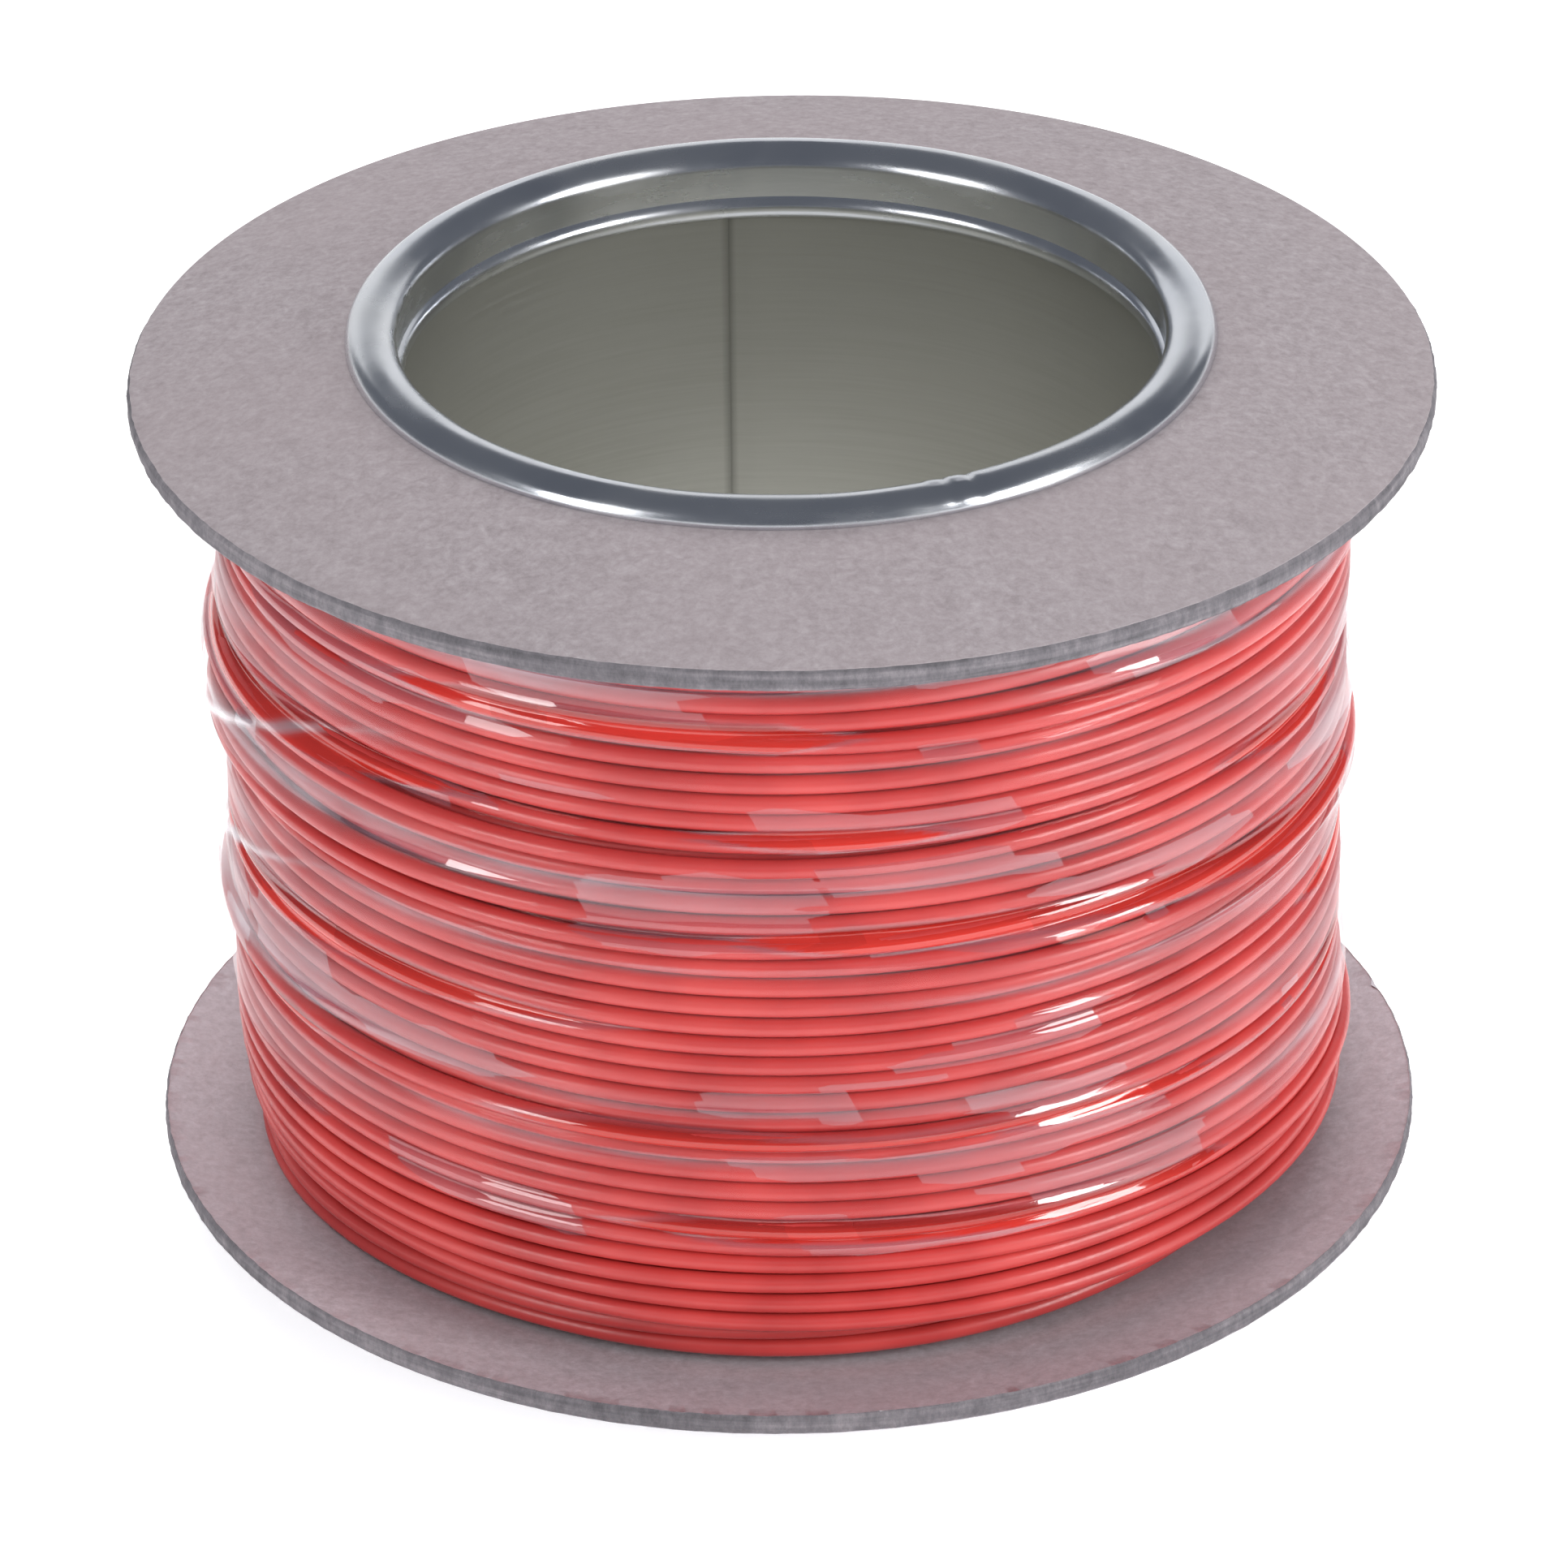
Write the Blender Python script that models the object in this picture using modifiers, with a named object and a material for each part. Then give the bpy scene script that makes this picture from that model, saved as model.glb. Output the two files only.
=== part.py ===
"""Wire spool: two dished board flanges on a rolled tinplate hub, locked by two tinplate ferrules,
wound with one length of single-core insulated wire and wrapped in clear stretch film.

Metres, +Z up along the spool's axis. The origin is the centre of the lower rim's footprint,
so the spool stands on Z = 0. Every shape is worked out from the driving dimensions below.
"""

import math

import bmesh
import bpy
from mathutils import Vector

MM = 0.001
GAP = 0.3 * MM                      # left between pieces that touch

# ---- driving dimensions ----
FLANGE_RADIUS = 80.0 * MM
BOARD_THICKNESS = 2.6 * MM
FLANGE_DISH = 4.4 * MM              # how far the middle of a flange stands proud of its edge
DISH_START_RADIUS = 54.0 * MM       # the board is flat inside this radius
DISH_POWER = 1.2                    # 1 would be a straight cone
HOLE_RADIUS = 47.7 * MM
CORE_HEIGHT = 107.4 * MM            # between the two boards, at the hub

TUBE_THICKNESS = 0.5 * MM
TUBE_INNER_RADIUS = 47.7 * MM
TUBE_LAP_ANGLE = math.radians(10.0)
TUBE_SEAM_AZIMUTH = math.radians(98.0)

FERRULE_THICKNESS = 0.5 * MM
FERRULE_WALL_RADIUS = 47.15 * MM    # middle of the sheet where it passes through the board
RIM_OUTER_RADIUS = 53.2 * MM
RIM_HEIGHT = 2.7 * MM               # crest above the board
CREST_RADIUS = 50.2 * MM
CREST_FLAT = 1.0 * MM               # width of the flat land that the spool stands on
LIP_DEPTH = 5.2 * MM                # the lower bead's middle, below the board's outer face
LIP_RADIUS = 1.4 * MM               # the bead's own section
LIP_HALF_ANGLE = 60.0               # degrees of that section on either side of its middle

WIRE_DIAMETER = 2.4 * MM
WINDING_INNER_RADIUS = 49.2 * MM
WINDING_RADIUS_LOW = 67.6 * MM      # at the lower flange
WINDING_RADIUS_FULL = 71.4 * MM     # along the belly
WINDING_RADIUS_HIGH = 69.3 * MM     # at the upper flange
BELLY_START = 34.0 * MM
BELLY_END = 70.0 * MM

CONDUCTOR_DIAMETER = 1.1 * MM
CONDUCTOR_STUB = 1.2 * MM           # how far the copper stands out of the insulation
CONDUCTOR_BURIED = 5.0 * MM
END_HEIGHT = 11.4 * MM              # the last stretch of wire lies behind the spool, low down
END_TIP_AZIMUTH = math.radians(122.0)
END_ARC = math.radians(-62.0)       # from the cut end back along the wire
END_BED_RADIUS = 66.2 * MM          # the turns that it lies on
END_RADIUS = END_BED_RADIUS + GAP + WIRE_DIAMETER / 2

FILM_THICKNESS = 0.3 * MM
FILM_CLEARANCE = 0.35 * MM
FILM_LOWER_EDGE = 26.0 * MM         # above the floor; the lowest turns are left bare

RING_STEPS = 60                     # sides of a turned piece
ARC_STEPS = 3                       # sides of a quarter of a rolled bead
BOARD_STEPS = 4                     # rings of facets across a dished board
WINDING_STEPS = 7
FILM_STEPS = 6
END_STEPS = 20

BOARD_FACE = RIM_HEIGHT             # lower board's outer face at the hub
BOARD_INNER = BOARD_FACE + BOARD_THICKNESS
TOTAL_HEIGHT = 2 * BOARD_INNER + CORE_HEIGHT


# ---- scene set-up ----
def clear_scene():
    for obj in list(bpy.data.objects):
        bpy.data.objects.remove(obj, do_unlink=True)


def new_collection(name):
    collection = bpy.data.collections.new(name)
    bpy.context.scene.collection.children.link(collection)
    return collection


def material(name, colour, roughness, metallic=0.0):
    mat = bpy.data.materials.new(name)
    mat.use_nodes = True
    shader = mat.node_tree.nodes["Principled BSDF"]
    shader.inputs["Base Color"].default_value = (*colour, 1.0)
    shader.inputs["Roughness"].default_value = roughness
    shader.inputs["Metallic"].default_value = metallic
    mat.diffuse_color = (*colour, 1.0)
    return mat


def shade(mesh, sharp_degrees=35.0):
    mesh.shade_smooth()
    mesh.set_sharp_from_angle(angle=math.radians(sharp_degrees))


# ---- shape helpers ----
def turned(name, profile, mat, collection, upside_down=False):
    """Turn a closed (radius, height) profile about Z. It runs down its outer side."""
    mesh = bpy.data.meshes.new(name)
    edges = [(i, (i + 1) % len(profile)) for i in range(len(profile))]
    mesh.from_pydata([(r, 0.0, z) for r, z in profile], edges, [])
    obj = bpy.data.objects.new(name, mesh)
    collection.objects.link(obj)
    screw = obj.modifiers.new("turn", "SCREW")
    screw.axis = "Z"
    screw.angle = 2 * math.pi
    screw.steps = RING_STEPS
    screw.render_steps = RING_STEPS
    screw.use_merge_vertices = True
    screw.merge_threshold = 0.00001
    screw.use_smooth_shade = True
    mesh.materials.append(mat)
    if upside_down:
        obj.location.z = TOTAL_HEIGHT
        obj.rotation_euler.x = math.pi
    return obj


def arc(centre, radius_r, radius_z, start, end, steps=ARC_STEPS):
    """Points on an ellipse's arc in the (radius, height) plane, angles in degrees."""
    points = []
    for i in range(steps + 1):
        a = math.radians(start + (end - start) * i / steps)
        points.append((centre[0] + radius_r * math.cos(a), centre[1] + radius_z * math.sin(a)))
    return points


def dish_drop(radius):
    """How far a board's face has fallen back at this radius."""
    reach = (radius - DISH_START_RADIUS) / (FLANGE_RADIUS - DISH_START_RADIUS)
    return FLANGE_DISH * max(reach, 0.0) ** DISH_POWER


def board_inner_height(radius):
    """Height of the lower board's inner face above the floor."""
    return BOARD_INNER + dish_drop(radius)


# ---- the pieces ----
def flange_profile():
    """The lower board: outer edge first, then the inner face to the hole, then the outer face."""
    bevel = 0.35 * MM
    dish_width = FLANGE_RADIUS - DISH_START_RADIUS
    face_radii = [DISH_START_RADIUS + dish_width * i / BOARD_STEPS for i in range(BOARD_STEPS)]
    edge_top = board_inner_height(FLANGE_RADIUS)
    edge_low = edge_top - BOARD_THICKNESS
    upper = [(r, board_inner_height(r)) for r in reversed(face_radii)]
    lower = [(r, z - BOARD_THICKNESS) for r, z in reversed(upper)]
    return (
        [(FLANGE_RADIUS - bevel, edge_top), (FLANGE_RADIUS, edge_top - bevel)]
        + [(FLANGE_RADIUS, edge_low + bevel), (FLANGE_RADIUS - bevel, edge_low)]
        + lower[::-1]
        + [(HOLE_RADIUS, BOARD_FACE), (HOLE_RADIUS, BOARD_INNER)]
        + upper[::-1]
    )


def ferrule_side(offset):
    """One side of the lower ferrule's sheet: round the rim, up the bore's wall, over the lip."""
    base_z = BOARD_FACE - GAP
    depth = base_z - FERRULE_THICKNESS / 2
    flat_out = CREST_RADIUS + CREST_FLAT / 2
    flat_in = CREST_RADIUS - CREST_FLAT / 2
    outer_roll = RIM_OUTER_RADIUS - FERRULE_THICKNESS / 2 - flat_out + offset
    inner_roll = flat_in - FERRULE_WALL_RADIUS + offset
    lip_middle = FERRULE_WALL_RADIUS + LIP_RADIUS * math.cos(math.radians(LIP_HALF_ANGLE))
    lip_roll = LIP_RADIUS + offset
    start, end = -180.0 + LIP_HALF_ANGLE, -180.0 - LIP_HALF_ANGLE
    return (
        arc((flat_out, base_z), outer_roll, depth + offset, 0.0, -90.0)
        + arc((flat_in, base_z), inner_roll, depth + offset, -90.0, -180.0)
        + arc((lip_middle, BOARD_FACE + LIP_DEPTH), lip_roll, lip_roll, start, end)
    )


def ferrule_profile():
    """Rolled sheet: its showing side, then its hidden side back to the start."""
    half = FERRULE_THICKNESS / 2
    return ferrule_side(half) + ferrule_side(-half)[::-1]


def hub_tube(mat, collection):
    """Tinplate sheet rolled into a tube, its end lapped over its start on the outside."""
    middle = TUBE_INNER_RADIUS + TUBE_THICKNESS / 2
    lapped = middle + TUBE_THICKNESS + 0.05 * MM
    step = 2 * math.pi / RING_STEPS
    lap_steps = round(TUBE_LAP_ANGLE / step)
    points = []
    for i in range(RING_STEPS + lap_steps + 1):
        a = TUBE_SEAM_AZIMUTH + i * step
        radius = middle if i < RING_STEPS else lapped
        points.append((radius * math.cos(a), radius * math.sin(a), BOARD_INNER + GAP))
    mesh = bpy.data.meshes.new("hub_tube")
    mesh.from_pydata(points, [(i, i + 1) for i in range(len(points) - 1)], [])
    obj = bpy.data.objects.new("hub_tube", mesh)
    collection.objects.link(obj)
    rise = obj.modifiers.new("rise", "SCREW")
    rise.axis = "Z"
    rise.angle = 0.0
    rise.screw_offset = CORE_HEIGHT - 2 * GAP
    rise.steps = 1
    rise.render_steps = 1
    rise.merge_threshold = 0.00001
    rise.use_smooth_shade = True
    sheet = obj.modifiers.new("sheet", "SOLIDIFY")
    sheet.thickness = TUBE_THICKNESS
    sheet.offset = 0.0
    sheet.use_even_offset = True
    mesh.materials.append(mat)
    return obj


def winding_radius(height):
    """Outer radius of the wound wire: fullest at mid-height, slimmer towards the lower flange."""
    if height < BELLY_START:
        reach = (BELLY_START - height) / (BELLY_START - BOARD_INNER)
        return WINDING_RADIUS_FULL - (WINDING_RADIUS_FULL - WINDING_RADIUS_LOW) * reach ** 2
    if height > BELLY_END:
        reach = (height - BELLY_END) / (TOTAL_HEIGHT - BOARD_INNER - BELLY_END)
        return WINDING_RADIUS_FULL - (WINDING_RADIUS_FULL - WINDING_RADIUS_HIGH) * reach ** 2
    return WINDING_RADIUS_FULL


def winding_profile():
    """The outer side from the top down, then in along the lower board and up the hub."""
    ledge = END_HEIGHT + WIRE_DIAMETER / 2 + GAP          # the wire's end lies below this
    top = TOTAL_HEIGHT - board_inner_height(WINDING_RADIUS_HIGH) - GAP
    low = ledge + WIRE_DIAMETER / 2
    heights = [top + (low - top) * i / WINDING_STEPS for i in range(WINDING_STEPS + 1)]
    outer = [(winding_radius(z), z) for z in heights]
    bed_foot = board_inner_height(END_BED_RADIUS) + GAP
    outer += [(END_BED_RADIUS, ledge), (END_BED_RADIUS, bed_foot)]
    halfway = (DISH_START_RADIUS + END_BED_RADIUS) / 2
    along_board = [halfway, DISH_START_RADIUS, WINDING_INNER_RADIUS]
    inner = [(r, board_inner_height(r) + GAP) for r in along_board]
    flipped = [(r, TOTAL_HEIGHT - z) for r, z in reversed(inner)]
    return outer + inner + flipped


def film_profile():
    """A thin sleeve that follows the winding from the bare lowest turns to the upper board."""
    top = TOTAL_HEIGHT - board_inner_height(WINDING_RADIUS_HIGH) - 2 * GAP
    heights = [top + (FILM_LOWER_EDGE - top) * i / FILM_STEPS for i in range(FILM_STEPS + 1)]
    inner = [(winding_radius(z) + FILM_CLEARANCE, z) for z in heights]
    outer = [(r + FILM_THICKNESS, z) for r, z in inner]
    return outer + inner[::-1]


def end_point(azimuth):
    return Vector((END_RADIUS * math.cos(azimuth), END_RADIUS * math.sin(azimuth), END_HEIGHT))


def tube_along(name, points, diameter, mat, collection):
    """A round bar along a list of points, as a welded mesh."""
    curve = bpy.data.curves.new(name + "_curve", "CURVE")
    curve.dimensions = "3D"
    curve.bevel_depth = diameter / 2
    curve.bevel_resolution = 2
    curve.use_fill_caps = True
    spline = curve.splines.new("POLY")
    spline.points.add(len(points) - 1)
    for slot, point in zip(spline.points, points):
        slot.co = (*point, 1.0)
    guide = bpy.data.objects.new(name + "_curve", curve)
    collection.objects.link(guide)
    bpy.context.view_layer.update()
    depsgraph = bpy.context.evaluated_depsgraph_get()
    mesh = bpy.data.meshes.new_from_object(guide.evaluated_get(depsgraph))
    bpy.data.objects.remove(guide, do_unlink=True)
    weld = bmesh.new()
    weld.from_mesh(mesh)
    bmesh.ops.remove_doubles(weld, verts=weld.verts, dist=0.00001)
    bmesh.ops.recalc_face_normals(weld, faces=weld.faces)
    weld.to_mesh(mesh)
    weld.free()
    mesh.name = name
    mesh.materials.clear()
    mesh.materials.append(mat)
    shade(mesh)
    obj = bpy.data.objects.new(name, mesh)
    collection.objects.link(obj)
    return obj


def wire_end(insulation, copper, collection, cutters):
    """The last stretch of the wire, behind the spool, with its conductor showing at the cut."""
    route = [end_point(END_TIP_AZIMUTH + END_ARC * i / END_STEPS) for i in range(END_STEPS + 1)]
    end = tube_along("wire_outer_end", route, WIRE_DIAMETER, insulation, collection)
    outwards = (route[0] - route[1]).normalized()
    face, inside = route[0], route[0] - outwards * CONDUCTOR_BURIED
    socket = tube_along(
        "conductor_socket",
        [face + outwards * MM, inside - outwards * GAP],
        CONDUCTOR_DIAMETER + 2 * GAP,
        insulation,
        cutters,
    )
    socket.hide_render = True
    socket.display_type = "WIRE"
    cut = end.modifiers.new("socket", "BOOLEAN")
    cut.operation = "DIFFERENCE"
    cut.solver = "EXACT"
    cut.object = socket
    stub = [face + outwards * CONDUCTOR_STUB, inside]
    tube_along("wire_conductor_end", stub, CONDUCTOR_DIAMETER, copper, collection)


def build():
    clear_scene()
    parts = new_collection("wire_spool")
    cutters = new_collection("cutters")

    board = material("greyboard", (0.42, 0.37, 0.37), 0.9)
    tinplate = material("tinplate", (0.74, 0.75, 0.77), 0.18, 1.0)
    hub_metal = material("hub_tinplate", (0.42, 0.42, 0.36), 0.45, 1.0)
    red_pvc = material("red_pvc", (0.68, 0.035, 0.025), 0.32)
    copper = material("copper", (0.80, 0.42, 0.26), 0.3, 1.0)
    film = material("clear_film", (0.90, 0.76, 0.76), 0.12)

    for side, flipped in (("bottom", False), ("top", True)):
        turned("flange_" + side, flange_profile(), board, parts, flipped)
        turned("ferrule_" + side, ferrule_profile(), tinplate, parts, flipped)
    hub_tube(hub_metal, parts)
    turned("wire_winding", winding_profile(), red_pvc, parts)
    wire_end(red_pvc, copper, parts, cutters)
    turned("stretch_film", film_profile(), film, parts)


build()
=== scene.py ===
"""Looks of the wire spool: the wound wire, the stretch film, the boards and the rolled tinplate."""
import math

import bpy
import numpy as np
from mathutils import Matrix, Vector, noise


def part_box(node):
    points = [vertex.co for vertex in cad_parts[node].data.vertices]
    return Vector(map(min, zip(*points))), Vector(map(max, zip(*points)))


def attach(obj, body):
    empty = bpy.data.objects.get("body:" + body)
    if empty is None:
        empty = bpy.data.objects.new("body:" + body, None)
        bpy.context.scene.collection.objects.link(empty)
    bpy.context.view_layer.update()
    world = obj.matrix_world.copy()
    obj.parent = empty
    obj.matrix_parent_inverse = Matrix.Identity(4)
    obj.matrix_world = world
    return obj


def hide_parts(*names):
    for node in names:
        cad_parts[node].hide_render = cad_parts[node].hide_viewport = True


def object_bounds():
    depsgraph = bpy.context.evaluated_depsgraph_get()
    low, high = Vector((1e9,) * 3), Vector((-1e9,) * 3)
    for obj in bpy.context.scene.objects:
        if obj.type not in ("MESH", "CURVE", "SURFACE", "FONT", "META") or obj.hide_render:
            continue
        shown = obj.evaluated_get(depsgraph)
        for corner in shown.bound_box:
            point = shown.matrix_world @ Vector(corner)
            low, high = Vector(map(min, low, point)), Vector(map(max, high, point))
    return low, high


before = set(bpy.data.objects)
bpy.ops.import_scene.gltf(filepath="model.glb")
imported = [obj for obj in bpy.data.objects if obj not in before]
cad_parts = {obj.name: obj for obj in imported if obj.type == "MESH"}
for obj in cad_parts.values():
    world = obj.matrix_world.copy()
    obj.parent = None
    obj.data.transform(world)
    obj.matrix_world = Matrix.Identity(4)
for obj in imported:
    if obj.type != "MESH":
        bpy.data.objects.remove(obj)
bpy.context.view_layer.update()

MM = 0.001
TAU = 2 * math.pi

# ---- sizes read from the frame ----
TOTAL_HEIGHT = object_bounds()[1].z
FLANGE_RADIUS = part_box("flange_top")[1].x
TUBE_LOW, TUBE_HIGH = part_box("hub_tube")
FILM_LOW, FILM_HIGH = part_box("stretch_film")
END_LOW, END_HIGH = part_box("wire_outer_end")
RIM_OUTER_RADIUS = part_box("ferrule_top")[1].x
BOARD_FACE_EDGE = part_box("flange_bottom")[1].z            # inner face at the rim of the dish
WIRE_DIAMETER = END_HIGH.z - END_LOW.z

# ---- the same driving sizes as the CAD ----
GAP = 0.3 * MM
BOARD_THICKNESS = 2.6 * MM
DISH_START_RADIUS = 54.0 * MM
DISH_POWER = 1.2
BOARD_INNER = TUBE_LOW.z - GAP
BOARD_FACE = BOARD_INNER - BOARD_THICKNESS
FLANGE_DISH = BOARD_FACE_EDGE - BOARD_INNER
HOLE_RADIUS = 47.7 * MM
WALL_RADIUS = 47.15 * MM
CREST_RADIUS = 50.2 * MM
TUBE_RADIUS = 47.95 * MM
TUBE_THICKNESS = 0.5 * MM
WINDING_INNER_RADIUS = 49.25 * MM
TUBE_SEAM_AZIMUTH = math.radians(98.0)
UNROLL_RADIUS = 72.0 * MM             # where patterns round the spool have their true length


def dish_drop(radius):
    reach = (radius - DISH_START_RADIUS) / (FLANGE_RADIUS - DISH_START_RADIUS)
    return FLANGE_DISH * max(reach, 0.0) ** DISH_POWER


def winding_radius(height):
    """Outer radius of the wound wire at this height, as in the CAD."""
    low, full, high = 67.6 * MM, 71.4 * MM, 69.3 * MM
    belly_start, belly_end = 34.0 * MM, 70.0 * MM
    if height < belly_start:
        return full - (full - low) * ((belly_start - height) / (belly_start - BOARD_INNER)) ** 2
    if height > belly_end:
        reach = (height - belly_end) / (TOTAL_HEIGHT - BOARD_INNER - belly_end)
        return full - (full - high) * reach ** 2
    return full


# ---- camera, floor and lights ----
CAMERA_TARGET = Vector((-0.23, 0.0, 52.0)) * MM
CAMERA_DISTANCE = 1.0
CAMERA_ELEVATION = math.radians(29.1)
CAMERA_ROLL = math.radians(-0.6)
CAMERA_LENS = 182.4
FLOOR_SIZE = 12.0
FLOOR_DEPTH = 0.2 * MM                # how far the floor lies under the spool
FLOOR_GLOW = 0.42
SKY_COLOUR, SKY_STRENGTH = (0.80, 0.86, 1.0, 1.0), 0.16
LIGHTS = (                            # name, azimuth, elevation, distance, size, power, mirrored
    ("key_left", -50.0, 15.0, 0.85, (0.30, 0.40), 2.1, True),
    ("key_right", 60.0, 15.0, 0.85, (0.30, 0.40), 4.2, True),
    ("front", 5.0, 38.0, 1.4, (1.1, 0.5), 5.3, False),
    ("top", 180.0, 78.0, 1.1, (0.7, 0.5), 3.6, False),
    ("side", -125.0, 55.0, 1.1, (0.6, 0.5), 1.6, False),
    ("back", 180.0, 40.0, 1.3, (1.3, 0.5), 8.0, False),
    ("backdrop", 180.0, 15.5, 1.3, (2.0, 0.68), 3.1, True),
)


def direction(azimuth, elevation):
    """Unit vector towards a point at this azimuth (0 is the camera's side, 90 its right)."""
    a, e = math.radians(azimuth), math.radians(elevation)
    return Vector((math.sin(a) * math.cos(e), -math.cos(a) * math.cos(e), math.sin(e)))


def make_camera():
    data = bpy.data.cameras.new("camera")
    data.lens = CAMERA_LENS
    data.sensor_width = 36.0
    data.clip_start = 0.05
    camera = bpy.data.objects.new("camera", data)
    bpy.context.scene.collection.objects.link(camera)
    towards = direction(0.0, math.degrees(CAMERA_ELEVATION))
    camera.location = CAMERA_TARGET + towards * CAMERA_DISTANCE
    aim = (-towards).to_track_quat("-Z", "Y").to_matrix()
    camera.rotation_euler = (aim @ Matrix.Rotation(CAMERA_ROLL, 3, "Z")).to_euler()
    bpy.context.scene.camera = camera


def area_light(name, azimuth, elevation, distance, size, power, mirrored):
    """A soft panel aimed at the spool. With mirrored off, shiny surfaces don't reflect it."""
    data = bpy.data.lights.new(name, "AREA")
    data.shape = "RECTANGLE"
    data.size, data.size_y = size
    data.energy = power
    light = bpy.data.objects.new(name, data)
    bpy.context.scene.collection.objects.link(light)
    centre = Vector((0.0, 0.0, TOTAL_HEIGHT / 2))
    towards = direction(azimuth, elevation)
    light.location = centre + towards * distance
    light.rotation_euler = towards.to_track_quat("Z", "Y").to_euler()
    light.visible_glossy = mirrored


def make_studio():
    bpy.ops.mesh.primitive_plane_add(size=FLOOR_SIZE, location=(0.0, 0.0, -FLOOR_DEPTH))
    floor = bpy.context.object
    floor.name = "floor"
    shade = new_material("floor_white", (0.93, 0.93, 0.93), 0.9)
    shade.set("Emission Color", (1.0, 1.0, 1.0, 1.0))
    shade.set("Emission Strength", FLOOR_GLOW)
    floor.data.materials.append(shade.material)
    for settings in LIGHTS:
        area_light(*settings)
    world = bpy.data.worlds.new("studio")
    world.use_nodes = True
    background = world.node_tree.nodes["Background"]
    background.inputs["Color"].default_value = SKY_COLOUR
    background.inputs["Strength"].default_value = SKY_STRENGTH
    bpy.context.scene.world = world
    bpy.context.scene.view_settings.view_transform = "Standard"


# ---- material helpers ----
class Nodes:
    """A material with short ways to add and link its nodes."""

    def __init__(self, material):
        self.material = material
        self.tree = material.node_tree
        self.shader = self.tree.nodes["Principled BSDF"]

    def add(self, kind, **settings):
        node = self.tree.nodes.new(kind)
        for key, value in settings.items():
            setattr(node, key, value)
        return node

    def link(self, source, target):
        self.tree.links.new(source, target)

    def set(self, socket, value):
        self.shader.inputs[socket].default_value = value

    def coords(self, scale=(1.0, 1.0, 1.0)):
        position = self.add("ShaderNodeTexCoord")
        mapping = self.add("ShaderNodeMapping")
        mapping.inputs["Scale"].default_value = scale
        self.link(position.outputs["Object"], mapping.inputs["Vector"])
        return mapping.outputs["Vector"]

    def noise(self, vector, scale, detail=3.0, rough=0.5, distortion=0.0):
        node = self.add("ShaderNodeTexNoise")
        node.inputs["Scale"].default_value = scale
        node.inputs["Detail"].default_value = detail
        node.inputs["Roughness"].default_value = rough
        node.inputs["Distortion"].default_value = distortion
        self.link(vector, node.inputs["Vector"])
        return node.outputs["Fac"]

    def math(self, operation, a, b=0.0, clamp=False):
        node = self.add("ShaderNodeMath", operation=operation, use_clamp=clamp)
        for slot, value in zip(node.inputs, (a, b)):
            if isinstance(value, (int, float)):
                slot.default_value = value
            else:
                self.link(value, slot)
        return node.outputs[0]

    def remap(self, value, low, high, to_low, to_high):
        node = self.add("ShaderNodeMapRange")
        node.inputs["From Min"].default_value = low
        node.inputs["From Max"].default_value = high
        node.inputs["To Min"].default_value = to_low
        node.inputs["To Max"].default_value = to_high
        self.link(value, node.inputs["Value"])
        return node.outputs["Result"]

    def ramp(self, value, stops):
        node = self.add("ShaderNodeValToRGB")
        elements = node.color_ramp.elements
        while len(elements) < len(stops):
            elements.new(0.5)
        for element, (place, colour) in zip(elements, stops):
            element.position = place
            element.color = (*colour, 1.0)
        self.link(value, node.inputs["Fac"])
        return node.outputs["Color"]

    def mix(self, factor, a, b):
        node = self.add("ShaderNodeMix", data_type="RGBA")
        for slot, value in ((0, factor), (6, a), (7, b)):
            if isinstance(value, (int, float)):
                node.inputs[slot].default_value = value
            elif isinstance(value, tuple):
                node.inputs[slot].default_value = (*value, 1.0)
            else:
                self.link(value, node.inputs[slot])
        return node.outputs[2]

    def bump(self, height, strength, distance):
        node = self.add("ShaderNodeBump")
        node.inputs["Strength"].default_value = strength
        node.inputs["Distance"].default_value = distance
        self.link(height, node.inputs["Height"])
        self.link(node.outputs["Normal"], self.shader.inputs["Normal"])


def new_material(name, colour, roughness, metallic=0.0):
    material = bpy.data.materials.new(name)
    material.use_nodes = True
    nodes = Nodes(material)
    nodes.set("Base Color", (*colour, 1.0))
    nodes.set("Roughness", roughness)
    nodes.set("Metallic", metallic)
    return nodes


def cylinder_coords(m):
    """Sockets for the distance round the spool, measured at UNROLL_RADIUS, and for the height."""
    position = m.add("ShaderNodeTexCoord")
    split = m.add("ShaderNodeSeparateXYZ")
    m.link(position.outputs["Object"], split.inputs[0])
    angle = m.math("ARCTAN2", split.outputs["Y"], split.outputs["X"])
    around = m.math("MULTIPLY", angle, UNROLL_RADIUS)
    return around, split.outputs["Z"]


def greyboard_material(name, tone_and_painted_fill):
    """Pressed grey board with fine mottled fibres. A tint scales its colour; on the lower board that tint
    is painted fill light, lifting the face that the winding and the upper board shade.
    """
    m = new_material(name, (0.35, 0.31, 0.32), 0.88)
    fine = m.noise(m.coords(), 900.0, 6.0, 0.75)
    fibre = m.noise(m.coords(), 420.0, 5.0, 0.7, 1.1)
    cloud = m.noise(m.coords(), 28.0, 3.0, 0.5)
    grain = m.math("ADD", m.math("MULTIPLY", fine, 0.55), m.math("MULTIPLY", fibre, 0.45))
    colour = m.ramp(grain, [(0.33, (0.262, 0.228, 0.234)), (0.5, (0.348, 0.308, 0.316)),
                            (0.66, (0.430, 0.390, 0.400))])
    tinted = m.mix(m.remap(cloud, 0.35, 0.65, 0.0, 0.3), colour, (0.365, 0.310, 0.316))
    # the tint multiplies the colour; for the lower board it is painted fill light
    scaled = m.add("ShaderNodeMix", data_type="RGBA", blend_type="MULTIPLY")
    scaled.inputs[0].default_value = 1.0
    scaled.inputs[7].default_value = (*tone_and_painted_fill, 1.0)
    m.link(tinted, scaled.inputs[6])
    m.link(scaled.outputs[2], m.shader.inputs["Base Color"])
    m.bump(grain, 0.55, 0.14 * MM)
    return m.material


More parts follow.
